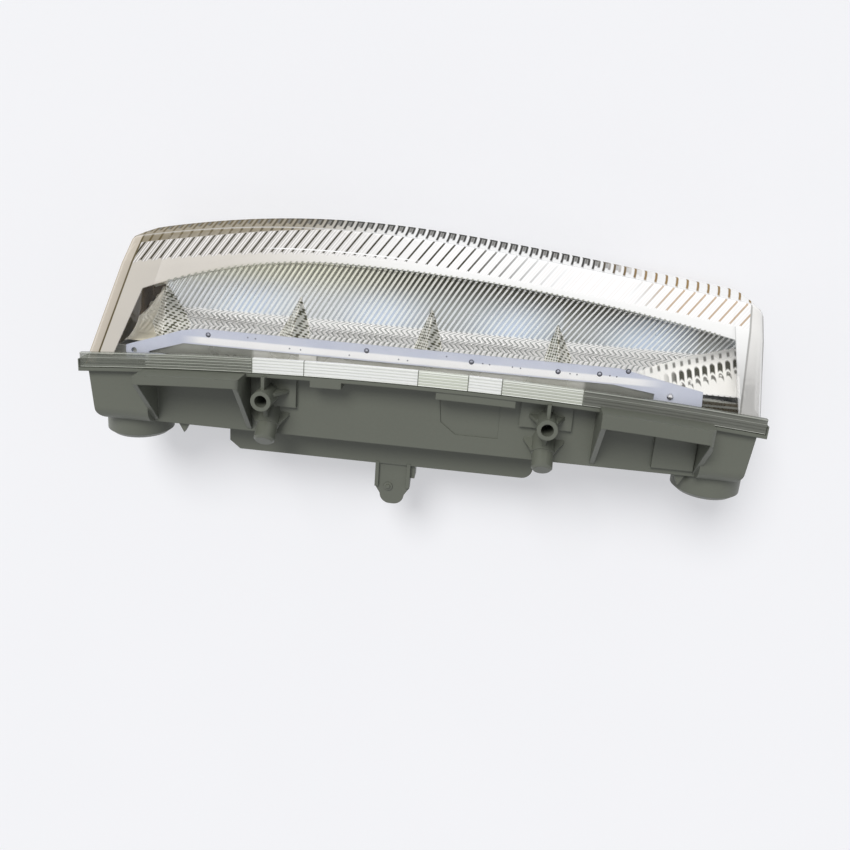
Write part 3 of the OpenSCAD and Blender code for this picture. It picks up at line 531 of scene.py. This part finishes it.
plain_coat, shader, start = new_finish("metallised ledge")
spot = own_spot(start)
x, y, _ = drawn_axes(start, spot)
cloud = mottle(spot, 50.0, 3.0)
# Painted light and shade: a painted highlight between x -74 and 74, darker painted shade beyond it,
# and dark stripes across the right end.
shade = cloud.band(0.3, 0.7).tint((0.30, 0.31, 0.28, 1), (0.42, 0.43, 0.39, 1))
treads = (y / tread_pitch).whole_part_off().band(0.3, 0.5) * x.band(111.0, 113.0)
shade = treads.tint(shade, (0.09, 0.075, 0.045, 1))
bright = cloud.band(0.3, 0.7).tint((0.66, 0.66, 0.6, 1), (0.88, 0.88, 0.85, 1))
start.feed(shader.inputs["Base Color"], x.within(-74.0, 74.0, 1.0).tint(shade, bright))
start.feed(shader.inputs["Roughness"], cloud.band(0.3, 0.7, 0.22, 0.34))
shader.inputs["Metallic"].default_value = 0.55
ledge = plate("reflector_ledge", ledge_outline, seat_z - ledge_t, seat_z, plain_coat)
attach(ledge, "root")


# LED board: a white lacquered strip that lies on the reflector's ledge and carries the four
# LEDs face down. Its two feet are fixed to the lugs, the right one with a domed rivet. The
# round test pads along it are bare.

board_top = -6.4

white_board, shader, start = new_finish("white board lacquer")
spot = own_spot(start)
x, y, _ = drawn_axes(start, spot)
# A painted highlight: a lighter band along the strip, with bluish white beside it.
shine = y.within(13.6, 16.6, 0.5) * x.band(-108, -96) * x.band(110, 92)
cloud = mottle(spot, 60.0, 2.0)
copper = mottle(spot, 260.0, 1.0)
lit = (cloud.band(0.3, 0.7) * 0.15 + shine).least(1)
start.feed(shader.inputs["Base Color"], lit.tint((0.58, 0.62, 0.75, 1), (0.97, 0.98, 1.0, 1)))
start.feed(shader.inputs["Roughness"], copper.band(0.3, 0.7, 0.3, 0.42))
coat(white_board, "led_board")

# The LEDs' bodies are white, and the faces that look down are yellow phosphor.
phosphor, shader, start = new_finish("LED body and phosphor")
cloud = mottle(own_spot(start), 500.0, 2.0)
surface = start.node("ShaderNodeNewGeometry", None, None, 1)
level = start.node("ShaderNodeSeparateXYZ", None, {0: surface}, 2)
body = cloud.tint((0.74, 0.74, 0.72, 1), (0.82, 0.82, 0.80, 1))
start.feed(shader.inputs["Base Color"], level.band(-0.6, -0.8).tint(body, (0.84, 0.70, 0.22, 1)))
start.feed(shader.inputs["Roughness"], cloud.band(0.3, 0.7, 0.3, 0.45))
coat(phosphor, "led_1", "led_2", "led_3", "led_4")

# The rivet's section runs from the top of its dome to the foot of its shank.
rivet_metal = inner_finish("bright rivet", (0.75, 0.75, 0.76, 1), (0.88, 0.88, 0.88, 1),
                           300, 0.2, 1.0)
rivet_x, rivet_y = 110.8, 10.0
section = [(0.0, 1.05), (0.7, 0.95), (1.25, 0.62), (1.55, 0.2), (1.6, 0.0), (1.1, 0.0),
           (1.1, -3.6), (0.0, -3.6)]
turns = 24
points = [spot_at(rivet_x + r * math.cos(math.tau * k / turns),
                  rivet_y + r * math.sin(math.tau * k / turns), board_top + h)
          for r, h in section[1:-1] for k in range(turns)]
points += [spot_at(rivet_x, rivet_y, board_top + h) for _, h in (section[0], section[-1])]
faces = []
for i in range(len(section) - 3):
    for k in range(turns):
        a, b = i * turns + k, i * turns + (k + 1) % turns
        faces.append((a, a + turns, b + turns, b))
last = (len(section) - 3) * turns
for k in range(turns):
    faces.append((len(points) - 2, k, (k + 1) % turns))
    faces.append((len(points) - 1, last + (k + 1) % turns, last + k))
rivet = new_piece("domed_rivet", points, faces, rivet_metal)
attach(rivet, "root")
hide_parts("board_rivet")


def dots_tree(name, radius, height, finish):
    """A round pad on every point."""
    start, given, values = new_tree(name, {"Radius": radius * MM, "Height": height * MM})
    disc = start.node("GeometryNodeMeshCylinder", None,
                      {"Vertices": 20, "Radius": given["Radius"], "Depth": given["Height"]})
    many = start.node("GeometryNodeInstanceOnPoints", None,
                      {"Points": given["Geometry"], "Instance": disc})
    return end_tree(start, many, finish), values


pad_spots = [(-94.1, 17.9), (-22.4, 17.6), (24.0, 17.0), (61.8, 16.4), (79.6, 17.1), (91.6, 19.5)]
via_spots = [(-76, 18.4), (-72.5, 18.2), (-57, 15.2), (-52, 15.1), (-30, 14.8), (-8, 15.0),
             (-4, 14.9), (13, 18.4), (29, 16.8), (32, 16.6), (42, 16.5), (45.5, 16.3),
             (67, 16.0), (70, 15.9), (84, 16.8), (87, 16.6)]
pad_ring = inner_finish("dark pad ring", (0.05, 0.055, 0.08, 1), (0.12, 0.13, 0.18, 1), 400, 0.5)
tin = inner_finish("tinned pad", (0.45, 0.47, 0.55, 1), (0.70, 0.72, 0.8, 1), 500, 0.35, 0.6)
for name, spots, radius, height, finish in (
        ("pad_rings", pad_spots, 1.15, 0.06, pad_ring), ("pads", pad_spots, 0.72, 0.12, tin),
        ("vias", via_spots, 0.32, 0.06, pad_ring)):
    made = new_piece(name, [spot_at(px, py, board_top) for px, py in spots], [], finish)
    settle(made, *dots_tree(name, radius, height, finish))
    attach(made, "root")


# Cover: a clear polycarbonate shell, moulded with slanted ribs inside its top wall that turn
# down the nose. Its skirt is bonded into the flange's groove, and its rim lies in the flange's
# upper edge, with a collar along the lower edge.

flange_half = 152.5
flange_bow = 6.5
cover_half = 149.9
cover_t = 2.4
lip_y = 2.8
left_rake, right_rake = 0.36, 0.112
nose_y, nose_x = 69.3, -36.0
nose_turn = 74
ends_y = 65.3
rib_pitch = 4.45
rib_height = 0.9
rib_bulge = 0.97


def bow(x):
    """How far the flange stands forward of its ends."""
    return flange_bow * (1 - (x / flange_half) ** 2)


def fall(d, r):
    """How far a round of radius r has fallen away at the distance d from its end."""
    return 0.0 if d >= r else r - math.sqrt(max(0.0, r * r - (r - max(d, 0.0)) ** 2))


def cover_left(y, t):
    return -cover_half + left_rake * max(0.0, y - lip_y) + t


def cover_right(y, t):
    return cover_half - right_rake * max(0.0, y - lip_y) - t


def sweep(x):
    if x < nose_x:
        return nose_y - (x - nose_x) ** 2 / 800
    return nose_y - 0.14 * (math.sqrt((x - nose_x) ** 2 + nose_turn ** 2) - nose_turn)


def cover_front(x):
    reach = sweep(x)
    return reach - fall(x - cover_left(reach, 0), 5) - fall(cover_right(reach, 0) - x, 9)


def cover_profile(base_x, x, t, inset):
    """Section of the cover as [y, z] corners with the number of steps to the next one."""
    f = cover_front(x) - t
    b = bow(base_x) + 0.2 - (1 if t > 0 else 0)
    front = bow(base_x) + lip_y
    up, low = -inset, -TABLE_Z + inset
    return [(b, -1.6 - t, 1), (front, -1.6 - t + up, 10), (f - 12, -7.5 - t + up, 18),
            (f - 1.9, -11.3 - t + up, 3), (f - 0.9, -13.0 - t + up, 6), (f - 0.3, -22.7, 5),
            (f, -34.7, 3), (f - 0.4, -43.7, 3), (f - 2.2, -52.8 + 0.6 * t + inset, 2),
            (f - 6, -55.4 + t + inset, 2), (f - 11, low + t, 3),
            (front, -54.4 + t + inset, 1), (b, -54.4 + t, 0)]


def cover_skin(t, columns):
    """Rings of the shell's skin inset by t, and the marks of each point."""
    rings = []
    marks = {"across": [], "fade": [], "deep": [], "brink": [], "face": []}
    slant = math.tan(math.radians(36))
    for s in columns:
        base_x = mix(cover_left(0, t), cover_right(0, t), s)
        x = mix(cover_left(ends_y, t), cover_right(ends_y, t), s)
        inset = fall(min(s, 1 - s) * 2 * cover_half, 3.2 - t * 0.5)
        ring = []
        line = cover_profile(base_x, x, t, inset)
        f = cover_front(x) - t
        for (y0, z0, steps), (y1, z1, _) in zip(line, line[1:] + [line[-1]]):
            for k in range(max(1, steps)):
                y = mix(y0, y1, k / max(1, steps))
                z = mix(z0, z1, k / max(1, steps))
                px = mix(cover_left(y, t), cover_right(y, t), s)
                ring.append(spot_at(px, y, z))
                turn = min(0.0, z + 14.5 + t)
                ribbed = soft(f - 12.2, f - 11.2, y) * soft(-33.0, -29.0, z) if t > 0 else 0.0
                marks["across"].append(px - (y - f) * slant + turn * 0.16)
                marks["fade"].append(ribbed)
                marks["deep"].append(f - y)
                marks["face"].append(1.0 if t == 0 else 0.0)
                marks["brink"].append(min(px - cover_left(y, t), cover_right(y, t) - px))
        rings.append(ring)
    return rings, marks


def tube_faces(first, rings, inside_out):
    """Faces of a closed tube through rings of points, numbered from first."""
    m = len(rings[0])
    faces = []
    for i in range(len(rings) - 1):
        for j in range(m):
            a, b = first + i * m + j, first + i * m + (j + 1) % m
            faces.append((a, b, b + m, a + m) if inside_out else (a, a + m, b + m, b))
    ends = [first + k for k in range(m)], [first + (len(rings) - 1) * m + k for k in range(m)]
    faces.append(ends[0][::-1] if inside_out else ends[0])
    faces.append(ends[1] if inside_out else ends[1][::-1])
    return faces


def clear_finish(name, paint, thin):
    """Clear plastic: a mirror by its angle over what is behind. paint gives a tone and its mask."""
    finish, shader, start = new_finish(name)
    tone, mask = paint(start)
    through = start.node("ShaderNodeBsdfTransparent", None, {"Color": thin})
    gloss = start.node("ShaderNodeBsdfAnisotropic", None, {"Roughness": 0.05})
    rim = start.node("ShaderNodeFresnel", None, {"IOR": 1.3})
    glass = start.node("ShaderNodeMixShader", None, {0: rim, 1: through, 2: gloss})
    start.feed(shader.inputs["Base Color"], tone)
    shader.inputs["Roughness"].default_value = 0.12
    shader.inputs["Specular IOR Level"].default_value = 0.0
    painted = Wire(start.tree, shader.outputs[0])
    both = start.node("ShaderNodeMixShader", None, {0: mask, 1: glass, 2: painted})
    start.feed(start.tree.nodes["Material Output"].inputs["Surface"], both)
    return finish


def cover_parts(start):
    """Where each part of the moulding lies, as masks, with X and Y of the drawing."""
    x, y, z = drawn_axes(start, own_spot(start))
    part = {"x": x, "y": y, "left": x.band(10.0, -10.0)}
    part["edge_on"] = start.node("ShaderNodeLayerWeight", None, {"Blend": 0.5}, 1).band(0.3, 0.62)
    outside = mark(start, "face").band(0.4, 0.6)
    deep = mark(start, "deep")
    # Ribs under the top wall: pale bars, painted white on the right as painted light, with dark
    # lines of painted shade between them, painted highlight streaks on them and a painted highlight
    # gleam along them.
    phase = (mark(start, "across") / rib_pitch).whole_part_off()
    swing = phase * 2 - 1
    to_left = x.band(-20.0, -110.0)
    top_wall = z.within(-12.4, -6.0, 0.3) * outside
    bars = (deep + swing * swing * 1.1 - to_left * 1.5).band(11.9, 11.4) * top_wall
    brow = (deep - to_left * 3.4).band(1.2, 0.7) * z.band(-12.6, -12.0) * outside
    part["brow"] = brow * x.band(-20.0, -50.0)
    bars = bars * (1 - part["brow"])
    part["bars"] = bars
    lines = phase.within(-0.2, 0.11, 0.03) + phase.within(0.90, 1.2, 0.03)
    part["line"] = lines * bars.band(0.2, 0.8)
    part["line_seen"] = (1 - x.band(15.0, 70.0)).most(x.band(85.0, 105.0) * 0.8)
    part["streak"] = (phase.within(0.34, 0.46, 0.03) + phase.within(0.64, 0.76, 0.03)) * bars
    part["gleam"] = deep.within(9.7, 10.15, 0.12) * x.within(-66.0, -4.0, 6.0) * bars.band(0.2, 0.8)
    # Ribs down the nose: dark hooks, webs and brim painted as the shade and reflections of the ribs
    # seen edge-on, with legs that lean as much as the ribs do.
    part["nose"] = (z.band(-11.9, -12.6) * deep.band(7.0, 5.0)).most(part["brow"])
    down = (-12 - z) / 44
    turned = (mark(start, "across") - (x * 0.088 - 9.64) * down) / rib_pitch
    turned = turned.whole_part_off()
    fades = 1 - x.band(70.0, 105.0)
    arch = turned.within(0.10, 0.86, 0.05) * z.within(-44.8, -36.0, 1.2) * fades
    legs = turned.within(0.10, 0.34, 0.05) * z.within(-42.0, -13.0, 2.0).most(part["brow"])
    legs = legs.most(turned.within(0.60, 0.84, 0.05) * z.within(-42.0, -19.0, 2.0) * fades)
    part["web"] = turned.within(0.34, 0.60, 0.05) * z.within(-44.0, -22.0, 2.0) * fades
    part["hook"] = arch.most(legs) * part["nose"]
    part["brim"] = z.within(-57.0, -47.6, 0.4) * part["nose"]
    # Border of the top wall past the reflector's rim: painted over what is behind it, white on the
    # right as painted light, with a row of dots along it.
    left, right = (x + 34).least(0), (x + 34).most(0)
    past_rim = y - 53.6 + left * left * 0.00225 + right * right * 0.00061
    dots = (x / 2.4 - y / 3.4).whole_part_off().within(0.2, 0.55, 0.1)
    dots = past_rim.within(0.3, 1.3, 0.2) * dots * outside
    part["dots"] = dots * x.within(-112.0, 127.0, 1.0)
    past_rim = past_rim.band(0.5, 1.1)
    past_left = (x + 139.3 - y * 0.437).band(0.4, -0.4)
    past_right = (x - 140.65 + y * 0.19).band(-0.4, 0.4)
    on_top = z.band(-12.6, -11.9) * outside * y.band(5.2, 6.0)
    part["border"] = past_rim.most(past_left) * (1 - past_right) * on_top
    part["right_border"] = past_right * on_top
    # End walls, painted tan on the left as painted reflections seen edge-on, and a dark line of
    # painted shade that shows their thickness from above.
    brink = mark(start, "brink")
    span = (x.band(-10.0, 10.0) * (9.9 - y * 0.08)).most(part["left"] * 5.4)
    part["side"] = (span - brink).band(-0.2, 0.2) * outside * z.band(-12.6, -11.9)
    part["seam"] = (span - brink).size().band(0.55, 0.25) * on_top
    part["wall"] = brink.band(1.2, 0.6)
    return part


def cover_tone(part):
    """Colour of the painted parts of the cover, most of it painted highlights, shade and
    reflections.
    """
    x, left = part["x"], part["left"]
    # The film is painted pinkish grey on the left and white on the right, where the white is
    # painted light.
    tone = x.band(-100.0, 10.0).tint((0.68, 0.64, 0.58, 1), (0.97, 0.97, 0.96, 1))
    tone = part["dots"].tint(tone, (0.34, 0.35, 0.29, 1))
    # Rib bars are painted white on the right as painted light; their streaks and gleam are painted
    # highlights, and their dark lines painted shade.
    bar = x.band(-90.0, 20.0).tint((0.50, 0.47, 0.44, 1), (0.97, 0.97, 0.97, 1))
    tone = part["bars"].tint(tone, bar)
    tone = part["streak"].tint(tone, (0.93, 0.91, 0.90, 1))
    line = x.band(85.0, 105.0).tint((0.045, 0.04, 0.025, 1), (0.45, 0.28, 0.13, 1))
    tone = (part["line"] * part["line_seen"]).tint(tone, line)
    tone = part["gleam"].tint(tone, (1.0, 1.0, 1.0, 1))
    # The nose is painted tan on the left and pale on the right, with dark hooks, webs and brim as
    # painted shade and reflections.
    nose = x.band(-60.0, 0.0).tint((0.29, 0.255, 0.19, 1), (0.90, 0.90, 0.89, 1))
    tone = part["nose"].tint(tone, nose)
    tone = (part["web"] * part["nose"]).tint(tone, (0.16, 0.155, 0.14, 1))
    hook = x.band(-100.0, -30.0).tint((0.13, 0.10, 0.05, 1), (0.035, 0.035, 0.03, 1))
    tone = part["hook"].tint(tone, x.band(70.0, 100.0).tint(hook, (0.28, 0.18, 0.07, 1)))
    brim = x.band(70.0, 120.0).tint((0.10, 0.09, 0.07, 1), (0.40, 0.28, 0.14, 1))
    tone = part["brim"].tint(tone, brim)
    # End walls and their edge line are painted: tan reflections on the left and a dark line of
    # painted shade.
    tone = part["side"].tint(tone, left.tint((0.84, 0.83, 0.81, 1), (0.60, 0.54, 0.46, 1)))
    tone = part["seam"].tint(tone, left.tint((0.46, 0.455, 0.44, 1), (0.13, 0.105, 0.055, 1)))
    return part["wall"].tint(tone, left.tint((0.27, 0.265, 0.25, 1), (0.36, 0.29, 0.17, 1)))


def cover_mask(part):
    """How far each painted part covers what is behind it."""
    x, left, edge_on = part["x"], part["left"], part["edge_on"]
    mask = part["right_border"] * part["y"].band(14.0, 42.0, 0.5, 0.9)
    mask = (part["border"] * 0.82).most(mask)
    mask = mask.most(part["bars"] * x.band(-80.0, 30.0, 0.78, 0.88))
    mask = mask.most(part["side"] * left * 0.25).most(part["dots"] * 0.6)
    mask = mask.most(part["nose"] * edge_on * x.band(-60.0, 0.0, 0.9, 0.7))
    mask = mask.most(part["web"] * part["nose"] * edge_on * 0.85).most(part["brow"] * 0.8)
    mask = mask.most(part["hook"] * (edge_on * 0.85 + 0.1)).most(part["brim"] * edge_on * 0.8)
    mask = mask.most(part["seam"] * left * 0.45 + part["seam"] * 0.3)
    mask = mask.most(part["wall"] * edge_on * (left * 0.3 + 0.5))
    return mask.most(part["line"] * part["line_seen"] * 0.92)


def cover_paint(start):
    part = cover_parts(start)
    return cover_tone(part), cover_mask(part)


clear = clear_finish("clear polycarbonate", cover_paint, (0.985, 0.98, 0.972, 1))

# Columns crowd towards the rounded ends, and the ribbed inner skin has more of them.
ends = [0, 0.0008, 0.002, 0.004, 0.0065, 0.0095, 0.0135, 0.018, 0.024]
far_ends = [1 - e for e in reversed(ends)]
coarse = ends + [mix(0.03, 0.97, k / 90) for k in range(91)] + far_ends
fine = ends + [mix(0.026, 0.974, k / 560) for k in range(561)] + far_ends
outer, outer_marks = cover_skin(0.0, coarse)
inner, inner_marks = cover_skin(cover_t, fine)
points = [p for ring in outer + inner for p in ring]
faces = tube_faces(0, outer, True) + tube_faces(len(outer) * len(outer[0]), inner, False)
marks = {title: outer_marks[title] + inner_marks[title] for title in outer_marks}
cover = new_piece("clear_cover", points, faces, clear, marks)
settle(cover, *pillow_tree("cover ribs", rib_pitch, rib_height * MM, rib_bulge, clear))
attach(cover, "root")
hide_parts("lens")


def bowed_bar(name, x0, x1, section, finish):
    """A bar that follows the flange's bow. section is its [y - bow, z] outline."""
    points, faces = [], []
    columns, m = 90, len(section)
    for i in range(columns + 1):
        x = mix(x0, x1, i / columns)
        points += [spot_at(x, bow(x) + y, z) for y, z in section]
    for i in range(columns):
        for j in range(m):
            a, b = i * m + j, i * m + (j + 1) % m
            faces.append((a, a + m, b + m, b))
    faces.append(list(range(m)))
    faces.append([columns * m + k for k in range(m - 1, -1, -1)])
    made = new_piece(name, points, faces, finish)
    made.data.polygons.foreach_set("use_smooth", [False] * len(made.data.polygons))
    return made


# The rim is moulded in lengths that end in small steps.
step_places = (-72.1, -48.7, 1.9, 23.8, 38.5, 73.6)
bright_from, _, dim_from, dim_to, bright_to, lit_to = step_places
rim_ridge_pitch = 1.34


def rim_lines(x, w):
    """Fine lines along the rim, closer on the left, and only near its edges on the right."""
    close = ((w + 0.9) / rim_ridge_pitch).whole_part_off().within(0.08, 0.34, 0.06)
    edges = w.within(-0.8, -0.5, 0.1).most(w.within(3.4, 3.65, 0.1)).most(w.within(5.4, 5.7, 0.1))
    return (close * x.within(-121.0, lit_to, 0.5)).most(edges)


def rim_paint(start):
    """Tone and mask of the rim. w runs across it from the flange's bowed edge."""
    x, y, _ = drawn_axes(start, own_spot(start))
    w = y - (1 - (x / flange_half) * (x / flange_half)) * flange_bow
    lines = rim_lines(x, w)
    last = x.band(lit_to, lit_to + 0.6)
    tone = lines.tint((0.21, 0.22, 0.19, 1), (0.58, 0.60, 0.54, 1))
    tone = last.tint(tone, lines.tint((0.17, 0.175, 0.155, 1), (0.42, 0.43, 0.39, 1)))
    # From bright_from to lit_to the rim is painted light as a painted highlight: whitest up to
    # bright_to, less between dim_from and dim_to, and grey with light lines up to lit_to.
    for start_x, end_x, between, on_line in (
            (bright_from, bright_to, (0.95, 0.96, 0.95, 1), (0.76, 0.78, 0.73, 1)),
            (bright_to, lit_to, (0.55, 0.57, 0.50, 1), (0.88, 0.90, 0.85, 1)),
            (dim_from, dim_to, (0.66, 0.69, 0.60, 1), (0.93, 0.95, 0.90, 1))):
        tone = x.within(start_x, end_x, 0.3).tint(tone, lines.tint(between, on_line))
    mask = lines * 0.2 + 0.5 + x.within(bright_from, lit_to, 0.3) * 0.2 + last * 0.25
    for place in step_places:
        step = x.within(place - 0.35, place + 0.05, 0.12)
        tone = step.tint(tone, (0.16, 0.17, 0.14, 1))
        mask = mask.most(step * 0.85)
    return tone, mask


clear_rim = clear_finish("clear rim", rim_paint, (0.97, 0.975, 0.955, 1))
ridges = [(5.6, 0.0)]
for k in range(4, -1, -1):
    crest = k * rim_ridge_pitch
    ridges += [(crest - 0.25, 0.0), (crest - 0.35, -0.22), (crest - 0.75, -0.22)]
ridges = [(y, z) for y, z in ridges if y > -0.7]
rim_section = [(-0.9, -2.2), (5.8, -2.2), (5.8, -0.2)] + ridges + [(-0.7, 0.0), (-0.9, -0.2)]
rim = bowed_bar("cover_rim", -151.5, 151.5, rim_section, clear_rim)
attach(rim, "root")
collar_section = [(2.9, -56.0), (5.8, -56.0), (5.8, -53.8), (2.9, -53.8)]
collar = bowed_bar("cover_collar", -147.9, 148.9, collar_section, clear)
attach(collar, "root")


# Table, studio light and camera. The table is a plain pale sheet. One broad soft light, like a
# window, shines down from the cover's side and a little from the left, and the room is pale.

def pale_ray(start):
    """1 for what the camera sees, itself or in metal or through clear plastic."""
    outs = start.node("ShaderNodeLightPath").socket.node.outputs
    seen = Wire(start.tree, outs["Is Camera Ray"])
    for title in ("Is Glossy Ray", "Is Transmission Ray"):
        seen = seen.most(Wire(start.tree, outs[title]))
    return seen


table_half = 6
table_z = -0.4 * MM
table_finish, shader, start = new_finish("pale table")
grain = mottle(own_spot(start), 8.0, 2.0)
start.feed(shader.inputs["Base Color"], grain.tint((0.88, 0.885, 0.91, 1), (0.91, 0.915, 0.94, 1)))
shader.inputs["Roughness"].default_value = 0.9
sheet = Wire(start.tree, shader.outputs[0])
glow = start.node("ShaderNodeEmission", None, {"Color": (0.93, 0.93, 0.955, 1), "Strength": 1.0})
both = start.node("ShaderNodeMixShader", None, {0: pale_ray(start) * 0.46, 1: sheet, 2: glow})
start.feed(start.tree.nodes["Material Output"].inputs["Surface"], both)
corners = [(table_half * sx, table_half * sy, table_z)
           for sx, sy in ((-1, -1), (1, -1), (1, 1), (-1, 1))]
table = new_piece("table", corners, [(0, 1, 2, 3)], table_finish)

room = bpy.data.worlds.new("room")
room.use_nodes = True
start = Wire(room.node_tree)
backdrop = room.node_tree.nodes["Background"]
backdrop.inputs["Color"].default_value = (0.94, 0.95, 0.98, 1)
start.feed(backdrop.inputs["Strength"], pale_ray(start) * 0.58 + 0.42)
bpy.context.scene.world = room

window = bpy.data.lights.new("window", "SUN")
window.energy = 2.5
window.angle = math.radians(28)
window.color = (1.0, 0.995, 0.98)
holder = bpy.data.objects.new("window", window)
to_window = Vector((-0.30, 0.80, 0.95))
holder.rotation_euler = to_window.to_track_quat("Z", "Y").to_euler()
holder.visible_glossy = False
bpy.context.collection.objects.link(holder)

lens_data = bpy.data.cameras.new("camera")
lens_data.sensor_width = 36
lens_data.lens = 36
camera = bpy.data.objects.new("camera", lens_data)
camera_place = (0.034163, 0.109055, 0.409951)
right = Vector((0.992149, 0.070982, -0.102963))
up = Vector((-0.100779, 0.941300, -0.322176))
back = Vector((0.074051, 0.330023, 0.941064))
turn = Matrix((right, up, back)).transposed().to_4x4()
camera.matrix_world = Matrix.Translation(camera_place) @ turn
bpy.context.collection.objects.link(camera)
bpy.context.scene.camera = camera
bpy.context.scene.view_settings.view_transform = "Standard"
